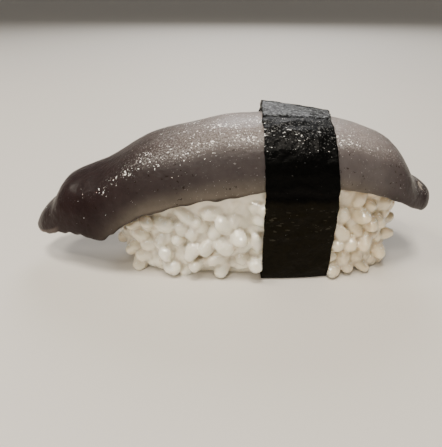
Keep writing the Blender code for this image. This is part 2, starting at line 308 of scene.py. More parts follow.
camera = bpy.data.objects.new("camera", bpy.data.cameras.new("camera"))
camera.data.sensor_width = SENSOR_WIDTH
camera.data.lens = LENS
camera.data.clip_start = 5 * MM
camera.location = CAMERA_PLACE
camera.rotation_euler = (math.pi / 2 - CAMERA_PITCH, 0, 0)
bpy.context.scene.collection.objects.link(camera)
bpy.context.scene.camera = camera
print("camera at", tuple(round(v, 4) for v in CAMERA_PLACE))

# %% Table
TABLE_COLOUR = (0.68, 0.65, 0.60, 1)
TABLE_FLAT = 1.3
TABLE_SWEEP = 1.2
SWEEP_STEPS = 12
TABLE_SIDES = 64

bm = bmesh.new()
profile = [(0.0, 0.0), (TABLE_FLAT, 0.0)]
for i in range(1, SWEEP_STEPS + 1):
    turn = math.pi / 2 * i / SWEEP_STEPS
    profile.append((TABLE_FLAT + TABLE_SWEEP * math.sin(turn), TABLE_SWEEP * (1 - math.cos(turn))))
chain = [bm.verts.new((radius, 0, level)) for radius, level in profile]
for first, second in zip(chain, chain[1:]):
    bm.edges.new((first, second))
turning = {"cent": (0, 0, 0), "axis": (0, 0, 1), "angle": 2 * math.pi, "steps": TABLE_SIDES}
bmesh.ops.spin(bm, geom=bm.verts[:] + bm.edges[:], use_merge=True, **turning)
bmesh.ops.remove_doubles(bm, verts=bm.verts, dist=MERGE_DISTANCE)
bmesh.ops.recalc_face_normals(bm, faces=bm.faces)
table_mesh = bpy.data.meshes.new("table")
bm.to_mesh(table_mesh)
bm.free()
table_mesh.shade_smooth()
table = bpy.data.objects.new("table", table_mesh)
bpy.context.scene.collection.objects.link(table)
table_look, _, _ = new_material("pale_table", Base_Color=TABLE_COLOUR, Roughness=0.6)
table_mesh.materials.append(table_look)
print("table:", round(2 * (TABLE_FLAT + TABLE_SWEEP), 1), "m across")

# %% Light
WORLD_COLOUR = (0.90, 0.90, 0.92, 1)
WORLD_STRENGTH = 0.12
WARM = (1.0, 0.92, 0.80)
NEUTRAL = (0.98, 0.97, 0.97)

world = bpy.data.worlds.new("studio")
world.use_nodes = True
world.node_tree.nodes["Background"].inputs["Color"].default_value = WORLD_COLOUR
world.node_tree.nodes["Background"].inputs["Strength"].default_value = WORLD_STRENGTH
bpy.context.scene.world = world


def add_lamp(name, place, width, power, colour=WARM, mirrored=True):
    """A square lamp aimed at the piece, with its place and width in metres, its power in watts."""
    lamp = bpy.data.objects.new(name, bpy.data.lights.new(name, "AREA"))
    lamp.data.size = width
    lamp.data.energy = power
    lamp.data.color = colour
    lamp.location = place
    lamp.rotation_euler = (-Vector(place)).to_track_quat("-Z", "Y").to_euler()
    lamp.visible_glossy = mirrored
    bpy.context.scene.collection.objects.link(lamp)


add_lamp("overhead", (-0.03, -0.16, 0.70), width=0.16, power=4.2)
add_lamp("left", (-0.42, -0.10, 0.62), width=0.18, power=2.4)
add_lamp("behind", (0.06, 0.66, 0.50), width=0.40, power=3.6, colour=NEUTRAL)
add_lamp("front", (-0.40, -0.80, 0.50), width=0.60, power=4.5, mirrored=False)
add_lamp("spark", (-0.08, -0.30, 0.50), width=0.05, power=0.7)


# %% [markdown]
# ## The topping
#
# The slab is glassy and wet, thick in the middle, with a skin of fine bumps that glitter. Its
# form comes from its solid, which a subdivision surface smooths. The knob at its right end is
# then made broader, and the neck before it eased. Noise adds long, low swells, fine pebbling and
# a ragged lower rim, as real geometry.

# %% Smooth the slab, and make its knob broader
KNOB = (32 * MM, 42 * MM)
KNOB_BROADER = 0.40
NECK = (34 * MM, 38 * MM)
NECK_ROUNDS = 30
NECK_EASED = 0.75

topping = subdivide(merged_copy("topping_slab", "topping"), 3)
points = points_of(topping)
points[:, 1] *= 1 + KNOB_BROADER * step(*KNOB, points[:, 0])
eased = neighbourhood(topping, points, NECK_ROUNDS)
points += (eased - points) * NECK_EASED * step(*NECK, points[:, 0])[:, None]
move_points(topping, points)
print("topping:", triangles(topping), "triangles")


# %% How far up the slab a point is
def share_up(points, slices=200):
    """0 at the rim and 1 at the crest, measured in slices across the slab."""
    x, z = points[:, 0], points[:, 2]
    edges = np.linspace(x.min(), x.max(), slices)
    near = np.clip(np.searchsorted(edges, x), 1, slices - 1)
    low = np.array([z[near == i].min() if (near == i).any() else np.nan for i in range(slices)])
    high = np.array([z[near == i].max() if (near == i).any() else np.nan for i in range(slices)])
    known = ~np.isnan(low)
    centres = (edges - (edges[1] - edges[0]) / 2)[known]
    low = np.interp(x, centres, low[known])
    high = np.interp(x, centres, high[known])
    return np.clip((z - low) / np.maximum(high - low, 1 * MM), 0, 1)


# %% Swells, pebbling, a nicked rim and a few dents
SWELL = (9 * MM, 0.22 * MM)
PEBBLE = (1.5 * MM, 0.05 * MM)
RIM_NICK = (2.0 * MM, 0.45 * MM)
RIM_HEIGHT = 0.12
# The place, radius and depth of each dent, in mm. A depth below 0 is a bulge.
DENTS = [
    ((42.6, -4.0, 20.2), 0.9, -0.35),
    ((-35.5, -5.5, 19.6), 1.6, -0.30),
    ((-33.0, -6.5, 20.2), 1.5, 0.25),
    ((-20.5, -10.5, 24.5), 1.8, 0.15),
]

normals = normals_of(topping)
height = share_up(points)
relief = noise_relief(points, SWELL, 1) + noise_relief(points, PEBBLE, 2)
points += normals * relief[:, None]
points[:, 2] += noise_relief(points, RIM_NICK, 3) * (1 - step(0, RIM_HEIGHT, height))
for place, radius, depth in DENTS:
    points -= normals * (depth * MM * nearness(points, place, radius))[:, None]
move_points(topping, points)
add_attribute(topping, "height", height)
topping.data.shade_smooth()
print("swells and pebbles up to", round(np.abs(relief).max() / MM, 2), "mm")

# %% Where painted glints go on the skin: along its shoulders, on its crown, and a little on the tail
# How steep the skin is there, in degrees, and where along the slab, in mm.
SHOULDER_TILT, SHOULDER_FROM, SHOULDER_THINS = (39, 10), (-34, -14), (0, 14)
CROWN_TILT, CROWN_FROM, CROWN_THINS = (34, 51), (-29, -7), (20, 34)
TAIL_TILT, TAIL_UNTIL = (55, 12), (-30, -22)
SHOULDER_SHARE, CROWN_SHARE, TAIL_SHARE = 0.42, 0.85, 0.10
SHOULDER_LOSS, CROWN_LOSS = 0.4, 0.5

normals = normals_of(topping)
tilt = np.degrees(np.arctan2(np.abs(normals[:, 1]), normals[:, 2]))
x = points[:, 0] / MM
shoulder = bell(tilt, *SHOULDER_TILT) * step(*SHOULDER_FROM, x)
shoulder *= 1 - SHOULDER_LOSS * step(*SHOULDER_THINS, x)
crown = (1 - step(*CROWN_TILT, tilt)) * step(*CROWN_FROM, x)
crown *= 1 - CROWN_LOSS * step(*CROWN_THINS, x)
tail = bell(tilt, *TAIL_TILT) * (1 - step(*TAIL_UNTIL, x))
glitter = SHOULDER_SHARE * shoulder + CROWN_SHARE * crown + TAIL_SHARE * tail
add_attribute(topping, "glitter", np.clip(glitter, 0, 1))
print("mean glitter:", round(glitter.mean(), 3))

# %% Clots of painted glints: the place and radius of each in mm, and its strength
GLINT_CLUSTERS = [
    ((-31.4, -8.8, 19.3), 1.4, 0.5),
    ((-27.1, -10.3, 20.6), 1.6, 0.9),
    ((-24.8, -10.0, 23.2), 1.8, 0.6),
    ((-21.2, -10.2, 24.9), 2.0, 0.85),
    ((-18.6, -9.5, 26.8), 1.8, 0.7),
    ((-15.3, -10.9, 27.0), 2.0, 0.7),
    ((-16.5, -8.4, 28.4), 1.7, 0.6),
    ((-10.0, -11.0, 29.2), 2.6, 0.5),
    ((-3.0, -11.5, 30.0), 2.6, 0.45),
    ((-28.5, 9.0, 21.0), 1.5, 0.7),
    ((-22.0, 10.5, 24.0), 2.2, 0.9),
    ((-9.0, 10.5, 29.5), 2.4, 0.6),
]

glint_clusters = np.zeros(len(points))
for place, radius, share in GLINT_CLUSTERS:
    glint_clusters = np.maximum(glint_clusters, share * nearness(points, place, radius))
add_attribute(topping, "glint_cluster", glint_clusters)
print("points in a clot:", int((glint_clusters > 0.3).sum()))


# %% [markdown]
# ## The look of the topping
#
# Light enters the flesh, scatters and comes out again, so it glows softly: that is subsurface
# scattering. A clear coat stands for its wet skin. The colour changes along the slab and up it:
# nearly black-brown in the tail, grey-purple in the middle, and paler on the crown, partly as
# painted sheen. The beige at the rim is a painted glow where the rice shines through, with a thin
# painted shadow line along its lower edge. The glitter is painted highlights, ragged scraps of
# noise in the colour, and the attributes that were just stored say where it is dense.

# %% Colours of the topping
TAIL_DARK = (0.0175, 0.0100, 0.0100, 1)
TAIL_CROWN = (0.027, 0.019, 0.019, 1)
MIDDLE = (0.057, 0.0475, 0.047, 1)
RIGHT = (0.100, 0.087, 0.086, 1)
# The crown's paler colours are partly painted sheen, the light that its wet top reflects.
CROWN_WITH_SHEEN = (0.186, 0.156, 0.144, 1)
CROWN_RIGHT_WITH_SHEEN = (0.250, 0.219, 0.211, 1)
RIM = (0.140, 0.119, 0.096, 1)
KNOB_DARK = (0.033, 0.024, 0.025, 1)
FACET = (0.085, 0.065, 0.058, 1)
HOOK_HIGHLIGHT = (0.32, 0.28, 0.24, 1)

CROWN_HEIGHT = (0.60, 1.0)
RIM_SHINES = (0.40, 0.0)
FACET_HEIGHT = (0.26, 0.16)
RIM_SHADOW_LINE = (0.07, 0.02)
RIM_SHADOW_SHARE = 0.7
FACET_FROM = (-38 * MM, -40 * MM)
HOOK_PLACE = Vector((43.0, -4.6, 19.7)) * MM
HOOK_INSIDE = Vector((43.6, -4.7, 19.1)) * MM
HOOK_EDGE = (1.3 * MM, 1.0 * MM)
HOOK_INNER_EDGE = (0.7 * MM, 0.9 * MM)

topping_look, tree, shader = new_material(
    "wet_topping",
    Roughness=0.34,
    IOR=1.40,
    Specular_IOR_Level=0.14,
    Subsurface_Weight=0.28,
    Subsurface_Radius=(1.0, 0.72, 0.60),
    Subsurface_Scale=1.8 * MM,
    Coat_Roughness=0.12,
    Coat_IOR=1.6,
)
place = node(tree, "ShaderNodeTexCoord").outputs["Object"]
x = node(tree, "ShaderNodeSeparateXYZ", {0: place}).outputs[0]
up = attribute(tree, "height")


def along_slab(colour, *changes):
    """A colour that gives way to others along the slab, each between two places in mm."""
    for (first, last), other in changes:
        colour = mixed(tree, ramp(tree, x, first * MM, last * MM), colour, other)
    return colour


front = along_slab(TAIL_DARK, ((-34, 2), MIDDLE), ((8, 24), RIGHT), ((29, 43), KNOB_DARK))
crown = along_slab(TAIL_CROWN, ((-26, 5), CROWN_WITH_SHEEN), ((12, 22), CROWN_RIGHT_WITH_SHEEN), ((28, 42), KNOB_DARK))
rim = along_slab(TAIL_DARK, ((-32, -16), RIM), ((24, 36), KNOB_DARK))
colour = mixed(tree, ramp(tree, up, *CROWN_HEIGHT), front, crown)
colour = mixed(tree, ramp(tree, up, *RIM_SHINES), colour, rim)
at_tip = ramp(tree, x, *FACET_FROM)
colour = mixed(tree, maths(tree, "MULTIPLY", at_tip, ramp(tree, up, *FACET_HEIGHT)), colour, FACET)
# A thin painted shadow line along the rim, where it meets the rice.
colour = tinted(tree, colour, ramp(tree, up, *RIM_SHADOW_LINE), RIM_SHADOW_SHARE, TAIL_DARK)
# A pale hook-shaped painted highlight on the knob.
hook = ramp(tree, distance_to(tree, place, HOOK_PLACE), *HOOK_EDGE)
outside = ramp(tree, distance_to(tree, place, HOOK_INSIDE), *HOOK_INNER_EDGE)
colour = mixed(tree, maths(tree, "MULTIPLY", hook, outside), colour, HOOK_HIGHLIGHT)

# %% Clouds, mottling, dark specks, and tiny painted glints in the topping
CLOUD_TINT = (0.5, 0.45, 0.45, 1)
MOTTLE_TINT = (0.5, 0.47, 0.48, 1)
SPECK = (0.010, 0.005, 0.003, 1)
# Scraps of this pale colour are painted glints: highlights put into the base colour.
PAINTED_GLINT = (0.98, 0.96, 0.94, 1)
CLOUD_SIZE, CLOUD_LEVELS, CLOUD_SHARE = 7 * MM, (0.3, 0.7), 0.25
MOTTLE_SIZE, MOTTLE_LEVELS, MOTTLE_SHARE = 1.8 * MM, (0.40, 0.65), 0.22
GROUP_LEVELS = (0.44, 0.60)
SPECKS_BELOW = (0.85, 0.70)
OFF_TAIL = (-24 * MM, -4 * MM)
SPECKS = (0.80 * MM, 0.80, 0.63, 0.75)
TINY_GLINTS = (0.40 * MM, 0.74, 0.68, 0.15)

cloud = ramp(tree, noise_texture(tree, place, CLOUD_SIZE), *CLOUD_LEVELS)
colour = tinted(tree, colour, cloud, CLOUD_SHARE, CLOUD_TINT, "MULTIPLY")
mottle = ramp(tree, noise_texture(tree, place, MOTTLE_SIZE), *MOTTLE_LEVELS)
colour = tinted(tree, colour, mottle, MOTTLE_SHARE, MOTTLE_TINT, "MULTIPLY")
grouped = ramp(tree, noise_texture(tree, place, CLOUD_SIZE, 1.0), *GROUP_LEVELS)
grouped = maths(tree, "MULTIPLY", grouped, ramp(tree, up, *SPECKS_BELOW))
colour = speckled(tree, colour, place, grouped, SPECKS, SPECK)
off_tail = ramp(tree, x, *OFF_TAIL)
colour = speckled(tree, colour, place, off_tail, TINY_GLINTS, PAINTED_GLINT, fade=off_tail)

# %% Painted glints where the skin glitters, and clots of them along the shoulder
PATCH_SIZE, PATCH_LEVELS, PATCH_LEAST = 3.5 * MM, (0.42, 0.64), 0.5
FAINT_LEVELS = (0.02, 0.20)
STROKE_SCALE = (1.0, 0.7, 1.5)
FAINT_GLINTS = (0.36 * MM, 0.66, 0.46, 0.10)
FINE_GLINTS = (0.44 * MM, 0.76, 0.56, 0.78)
COARSE_GLINTS = (0.62 * MM, 0.84, 0.61, 0.90)
GLINT_CLOTS = (0.52 * MM, 0.76, 0.51, 0.95)
COAT_LEAST, COAT_OFF_TIP, COAT_ON_GLINTS = 0.02, 0.05, 0.16
COAT_FROM = (-40 * MM, -20 * MM)

glitter = attribute(tree, "glitter")
patches = ramp(tree, noise_texture(tree, place, PATCH_SIZE, 2.0), *PATCH_LEVELS)
patchy = maths(tree, "MULTIPLY", patches, 1 - PATCH_LEAST)
patchy = maths(tree, "ADD", patchy, PATCH_LEAST)
zone = maths(tree, "MULTIPLY", glitter, patchy)
strokes = stretched(tree, place, STROKE_SCALE)
some = ramp(tree, glitter, *FAINT_LEVELS)
# These pale scraps are painted glints, densest where the glitter attribute is high.
colour = speckled(tree, colour, place, glitter, FAINT_GLINTS, PAINTED_GLINT, fade=some)
colour = speckled(tree, colour, strokes, zone, FINE_GLINTS, PAINTED_GLINT)
colour = speckled(tree, colour, strokes, zone, COARSE_GLINTS, PAINTED_GLINT)
colour = speckled(tree, colour, place, attribute(tree, "glint_cluster"), GLINT_CLOTS, PAINTED_GLINT)
tree.links.new(colour, shader.inputs["Base Color"])
coat = maths(tree, "MULTIPLY", ramp(tree, x, *COAT_FROM), COAT_OFF_TIP)
coat = maths(tree, "ADD", coat, COAT_LEAST)
coat = maths(tree, "ADD", maths(tree, "MULTIPLY", zone, COAT_ON_GLINTS), coat)
tree.links.new(coat, shader.inputs["Coat Weight"])

# %% The wet skin of the topping, and its place in the frame
FLESH_BUMP = (1.0 * MM, 0.12 * MM)
WET_BUMP = (0.9 * MM, 0.45 * MM)

soft = bumped(tree, noise_texture(tree, place, FLESH_BUMP[0]), FLESH_BUMP[1])
tree.links.new(soft, shader.inputs["Normal"])
sharp = bumped(tree, noise_texture(tree, place, WET_BUMP[0], 4.0), WET_BUMP[1], soft)
tree.links.new(sharp, shader.inputs["Coat Normal"])
topping.data.materials.append(topping_look)
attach(topping, "root")
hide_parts("topping_slab")
print("look of the topping:", len(tree.nodes), "nodes")


# %% [markdown]
# ## The nori band
#
# Nori is a thin sheet of pressed seaweed. Where it lies on moist food it wrinkles, and its cut
# edges are never quite straight. The solid is a closed ring, so it keeps its even thickness
# when both of its faces are moved by the same amount: the noise is read at the same place for
# a point of the outer face and for the one behind it. At the back the ring stands off the
# topping, so rays from its middle measure the gap, and the band is drawn in by that much.

# %% Smooth the band, with its cut edges kept sharp
BAND_CREASE_ANGLE = math.radians(50)

nori = merged_copy("nori_band", "nori")
bm = bmesh.new()
bm.from_mesh(nori.data)
crease = bm.edges.layers.float.new("crease_edge")
for edge in bm.edges:
    if edge.calc_face_angle(0) > BAND_CREASE_ANGLE:
        edge[crease] = 1.0
bm.to_mesh(nori.data)
bm.free()
subdivide(nori, 3)
print("nori:", triangles(nori), "triangles")

# %% How far the back of the band stands off the topping
HUG_GAP = 0.15 * MM
HUG_MOST = 1.3 * MM
FAR_OUT = 60 * MM
HUG_SECTIONS = 14
# Degrees from the top of the band: the first, the end and the step.
HUG_TURNS = (0, 91, 3)

low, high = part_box("nori_band")
middle = (low + high) / 2
bpy.context.view_layer.update()
hug_places = np.linspace(low.x + 1 * MM, high.x - 1 * MM, HUG_SECTIONS)
hug_turns = np.radians(np.arange(*HUG_TURNS))
stand_off = np.zeros((len(hug_places), len(hug_turns)))
for i, x in enumerate(hug_places):
    for j, turn in enumerate(hug_turns):
        axis = Vector((x, middle.y, middle.z))
        ray = Vector((0, math.sin(turn), math.cos(turn)))
        met, outer, _, _ = topping.ray_cast(axis + ray * FAR_OUT, -ray, distance=FAR_OUT)
        held, inner, _, _ = nori.ray_cast(axis, ray)
        if met and held:
            stand_off[i, j] = min((inner - outer).length - HUG_GAP, HUG_MOST)
print("the band stands off by up to", round(stand_off.max() / MM, 2), "mm at the back")


# %% Reading that table
def read_table(table, places, turns, x, turn):
    """The table's value at each x and turn, blended between its rows and columns."""
    rows = np.array([np.interp(turn, turns, row) for row in table])
    at = np.interp(x, places, np.arange(len(places)))
    below = np.minimum(at.astype(int), len(places) - 2)
    each = np.arange(len(x))
    return rows[below, each] * (1 - at + below) + rows[below + 1, each] * (at - below)


# %% Wrinkles, the crease along the top, and the drawn-in back
BAND_RADIUS = 17 * MM
WRINKLE, WRINKLE_STRETCH = (3.2 * MM, 0.22 * MM), (1.8, 1, 1)
BLISTER = (1.3 * MM, 0.10 * MM)
CRINKLE, CRINKLE_STRETCH = (1.7 * MM, 0.26 * MM), (2.4, 0.7, 1)
CRINKLE_HEIGHT = (16.5 * MM, 3.0 * MM)
TUCK = 0.30 * MM
TUCK_HEIGHT = (21.5 * MM, 1.1 * MM)
# Round the band, in degrees from its top.
CREASE_TURN = 13.5
CREASE_WIDTH = 1.6
CREASE_DEPTH = 0.28 * MM
CREASE_WANDER = (5 * MM, 2.2)
CREASE_FRAY = (1.4 * MM, 1.3)
DRAWN_IN_FROM = (14, 32)
DRAWN_IN_UNTIL = (55, 72)
OFF_TABLE = (0.5 * MM, 3 * MM)

points = points_of(nori)
outward = points - np.array(middle)
outward[:, 0] = 0
outward[:, 1:] /= np.linalg.norm(outward[:, 1:], axis=1)[:, None]
turn = np.arctan2(outward[:, 1], outward[:, 2])
behind = np.degrees(turn)
round_it = np.degrees(np.abs(turn))
flat = np.column_stack([points[:, 0], turn * BAND_RADIUS, np.zeros(len(points))])
ridges = rough(flat, WRINKLE[0], 4, WRINKLE_STRETCH)
relief = WRINKLE[1] * (0.5 - np.abs(ridges) * 2) + noise_relief(flat, BLISTER, 5)
relief -= TUCK * bell(points[:, 2], *TUCK_HEIGHT)
crinkles = noise_relief(flat, CRINKLE, 14, CRINKLE_STRETCH)
relief += crinkles * bell(points[:, 2], *CRINKLE_HEIGHT)
wander = noise_relief(points, CREASE_WANDER, 9) + noise_relief(points, CREASE_FRAY, 15)
relief -= CREASE_DEPTH * bell(round_it - wander, CREASE_TURN, CREASE_WIDTH)
drawn_in = read_table(stand_off, hug_places, hug_turns, points[:, 0], turn)
relief -= drawn_in * step(*DRAWN_IN_FROM, behind) * (1 - step(*DRAWN_IN_UNTIL, behind))
points += outward * (relief * step(*OFF_TABLE, points[:, 2]))[:, None]
print("the band moves by up to", round(np.abs(relief).max() / MM, 2), "mm")

# %% Uneven cut edges, and where the band shines and glitters
EDGE_WANDER = (2.4 * MM, 0.24 * MM)
EDGE_JAG = (0.7 * MM, 0.10 * MM)
# A higher power keeps the unevenness closer to the cut edges.
EDGE_POWER = 3
FRAY = (2 * MM, 4)
SHEEN_ENDS = (CREASE_TURN - 2, CREASE_TURN + 1)
GLITTER_STARTS = (CREASE_TURN, CREASE_TURN + 3)
THICK_ENDS, THICK_SHARE = (32, 46), 0.9
THIN_ENDS, THIN_SHARE = (40, 62), 0.75

side = (points[:, 0] - middle.x) / (high.x - low.x) * 2
along_edge = np.column_stack([np.sign(side), flat[:, 1], flat[:, 2]])
uneven = noise_relief(along_edge, EDGE_WANDER, 6) + noise_relief(along_edge, EDGE_JAG, 11)
points[:, 0] += uneven * np.abs(side) ** EDGE_POWER
move_points(nori, points)
nori.data.shade_smooth()
nori.data.set_sharp_from_angle(angle=BAND_CREASE_ANGLE)
frayed = round_it - wander + noise_relief(points, FRAY, 10)
thick = THICK_SHARE * (1 - step(*THICK_ENDS, frayed))
thin = THIN_SHARE * (1 - step(*THIN_ENDS, frayed))
add_attribute(nori, "sheen", 1 - step(*SHEEN_ENDS, round_it - wander))
add_attribute(nori, "glitter", step(*GLITTER_STARTS, frayed) * np.maximum(thick, thin))


# %% [markdown]
# ## The look of the nori
#
# Close up, nori is a felt of green-black flakes. It is darkest where it lies on the dark
# topping, and a little browner and greener over the white rice. Its flat top is wet and shiny,
# with a painted sheen of pale grain on it. Past the crease the flakes glitter one by one, and
# fewer and fewer of them further down: their glints are painted highlights, pale scraps in the
# colour.

# %% Colour of the nori
NORI_BLACK = (0.0006, 0.0006, 0.0005, 1)
NORI_BROWN = (0.0052, 0.0040, 0.0014, 1)
NORI_SHADE = (0.3, 0.3, 0.28, 1)
NORI_RIDGE = (0.034, 0.031, 0.022, 1)
NORI_GLINT = (0.85, 0.86, 0.86, 1)
NORI_TOP_SHEEN = (0.12, 0.13, 0.135, 1)
BROWN_BELOW = (22.5 * MM, 20.5 * MM)
RIDGES_BELOW, RIDGES_ABOVE = (22 * MM, 19.5 * MM), (8 * MM, 14 * MM)
DASH_SCALE, RIDGE_SCALE = (0.6, 1.0, 1.0), (0.30, 0.8, 1.0)
WAVE_SIZE, WAVE_HEIGHT = 4 * MM, 3 * MM
GLEAM_SIZE, GLEAM_LEVELS, GLEAM_LEAST = 5 * MM, (0.36, 0.56), 0.08
SHADE_SIZE, SHADE_LEVELS, SHADE_SHARE = 1.1 * MM, (0.35, 0.7), 0.5
GLINT_DUST_ZONE = 0.5
GLINT_HAZE = (0.36 * MM, 0.85, 0.54, 0.10)
RIDGES = (0.60 * MM, 0.80, 0.62, 0.8)
NORI_GLINT_DUST = (0.42 * MM, 0.76, 0.72, 0.12)
GLINT_FLAKES = (0.44 * MM, 0.80, 0.61, 0.90)
TOP_SHEEN_GRAIN = (0.5 * MM, 0.80, 0.52, 0.7)

nori_look, tree, shader = new_material(
    "nori", IOR=1.20, Specular_IOR_Level=0.25, Coat_Roughness=0.14, Roughness=0.50
)
place = node(tree, "ShaderNodeTexCoord").outputs["Object"]
z = node(tree, "ShaderNodeSeparateXYZ", {0: place}).outputs[2]
wavy = maths(tree, "MULTIPLY", noise_texture(tree, place, WAVE_SIZE), WAVE_HEIGHT)
level = maths(tree, "ADD", z, wavy)
glitter = attribute(tree, "glitter")
sheen = attribute(tree, "sheen")
patches = ramp(tree, noise_texture(tree, place, GLEAM_SIZE, 1.0), *GLEAM_LEVELS)
zone = maths(tree, "MULTIPLY", glitter, maths(tree, "ADD", patches, GLEAM_LEAST))
dashes = stretched(tree, place, DASH_SCALE)
long_dashes = stretched(tree, place, RIDGE_SCALE)
lower = ramp(tree, level, *RIDGES_BELOW)
lower = maths(tree, "MULTIPLY", lower, ramp(tree, level, *RIDGES_ABOVE))
colour = mixed(tree, ramp(tree, level, *BROWN_BELOW), NORI_BLACK, NORI_BROWN)
mottle = ramp(tree, noise_texture(tree, place, SHADE_SIZE), *SHADE_LEVELS)
colour = tinted(tree, colour, mottle, SHADE_SHARE, NORI_SHADE, "MULTIPLY")
# Pale scraps here are painted glints: a haze of them past the crease.
colour = speckled(tree, colour, place, glitter, GLINT_HAZE, NORI_GLINT)
colour = speckled(tree, colour, long_dashes, lower, RIDGES, NORI_RIDGE)
# A few painted glints anywhere, and glinting flakes in patches past the crease.
colour = speckled(tree, colour, place, GLINT_DUST_ZONE, NORI_GLINT_DUST, NORI_GLINT)
colour = speckled(tree, colour, dashes, zone, GLINT_FLAKES, NORI_GLINT)
# Pale grain on the flat top is painted sheen.
colour = speckled(tree, colour, dashes, sheen, TOP_SHEEN_GRAIN, NORI_TOP_SHEEN)
tree.links.new(colour, shader.inputs["Base Color"])

# %% Sheen and felt of the nori, and its place in the frame
WET_TOP, WET_LOW, WET_FLAKES = 0.30, 0.02, 0.12
WET_BELOW = (22 * MM, 19 * MM)
FELT_BUMP = (0.9 * MM, 0.16 * MM)
SHEEN_BUMP = (0.8 * MM, 0.30 * MM)

wet = maths(tree, "MULTIPLY", sheen, WET_TOP)
moist = maths(tree, "MULTIPLY", ramp(tree, level, *WET_BELOW), WET_LOW)
wet = maths(tree, "ADD", wet, moist)
wet = maths(tree, "ADD", maths(tree, "MULTIPLY", zone, WET_FLAKES), wet)
tree.links.new(wet, shader.inputs["Coat Weight"])
felt = bumped(tree, noise_texture(tree, place, FELT_BUMP[0]), FELT_BUMP[1])
tree.links.new(felt, shader.inputs["Normal"])
sharp = bumped(tree, noise_texture(tree, place, SHEEN_BUMP[0], 4.0), SHEEN_BUMP[1], felt)
tree.links.new(sharp, shader.inputs["Coat Normal"])
nori.data.materials.append(nori_look)
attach(nori, "root")
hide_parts("nori_band")
print("look of the nori:", len(tree.nodes), "nodes")


# %% [markdown]
# ## The rice
#
# A hand-pressed block is several hundred grains that cling to each other. Just under the topping
# they are squeezed into a smooth, damp layer, and further down each one stands out. So the block
# is a lumpy core, which is the squeezed layer and what shows between the grains, and whole
# grains that Geometry Nodes scatter over a skin a little outside it.

# %% The outline of the rice
GRAIN_LENGTH = 6.5 * MM
GRAIN_WIDTH = 3.8 * MM
PLAN_POWER = 2.6
STAND_OUT = 1.5 * MM
AROUND = 120

low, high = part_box("rice_block")
rice_middle = (low + high) / 2
rice_half = ((high.x - low.x) / 2 - STAND_OUT, (high.y - low.y) / 2 - STAND_OUT)
bpy.context.view_layer.update()


def plan_point(angle, scale):
    """A point of the outline from above, at that share of its full size."""
    across, deep = math.cos(angle), math.sin(angle)
    x = math.copysign(abs(across) ** (2 / PLAN_POWER), across) * rice_half[0] * scale
    y = math.copysign(abs(deep) ** (2 / PLAN_POWER), deep) * rice_half[1] * scale
    return rice_middle.x + x, y


def under_topping(x, y):
    """Height of the underside of the topping at x, y, or 0 beside it."""
    hit, spot, _, _ = topping.ray_cast(Vector((x, y, 0)), Vector((0, 0, 1)))
    return spot.z if hit else 0.0


# %% Surfaces through rings round the rice
RIM_SCALES = (0.98, 0.95, 0.92, 0.88, 0.84)

angles = [2 * math.pi * i / AROUND for i in range(AROUND)]
rims = [max(under_topping(*plan_point(angle, scale)) for scale in RIM_SCALES) for angle in angles]


def loft(name, profile):
    """A surface through rings, each given by its share of the height and of the outline."""
    bm = bmesh.new()
    rings = []
    for share, scale in profile:
        spots = [(*plan_point(a, scale), share * rim) for a, rim in zip(angles, rims)]
        rings.append([bm.verts.new(spot) for spot in spots])
    for first, second in zip(rings, rings[1:]):
        for i in range(AROUND):
            j = (i + 1) % AROUND
            bm.faces.new((first[i], first[j], second[j], second[i]))
    mesh = bpy.data.meshes.new(name)
    bm.to_mesh(mesh)
    bm.free()
    made = bpy.data.objects.new(name, mesh)
    bpy.context.scene.collection.objects.link(made)
    return made


# %% The core and the skin that carries the grains
CORE_WAIST = [(0.0, 0.84), (0.10, 0.87), (0.25, 0.89), (0.45, 0.89), (0.6, 0.92)]
CORE_BELT = [(0.72, 0.96), (0.82, 0.99), (0.92, 1.0), (1.0, 0.98)]
INWARD = (0.85, 0.7, 0.5, 0.3, 0.1, 0.002)
SKIN = [(0.06, 0.95), (0.2, 1.0), (0.4, 1.01), (0.6, 1.0), (0.8, 0.97), (0.92, 0.93)]
LUMP = (2.6 * MM, 0.30 * MM)
FINE_LUMP = (1.0 * MM, 0.08 * MM)

under = [(0.0, CORE_WAIST[0][1] * share) for share in reversed(INWARD)]
over = [(1.0, CORE_BELT[-1][1] * share) for share in INWARD]
core = loft("rice_core", under + CORE_WAIST + CORE_BELT + over)
skin = loft("rice_skin", SKIN)
subdivide(core, 1)
points = points_of(core)
lumps = noise_relief(points, LUMP, 7) + noise_relief(points, FINE_LUMP, 8)
move_points(core, points + normals_of(core) * lumps[:, None])
print("core:", triangles(core), "triangles")

# %% [markdown]
# ### One grain, made a few times
#
# A cooked short grain is a plump barrel, a little bent and a little thinner at one end. It lies
# along X and has few faces, because there will be hundreds of it; smooth shading hides that.
# Four different grains are enough for no two neighbours to look alike.

# %% Four grains
GRAIN_SIDES = 10
GRAIN_RINGS = 8
GRAIN_BLUNT = 0.75
GRAIN_FLAT = 0.92
# How far each kind is bent, and how much thicker its right end is.
GRAIN_SHAPES = [(0.06, 0.10), (-0.05, 0.16), (0.10, -0.12), (0.0, 0.05)]

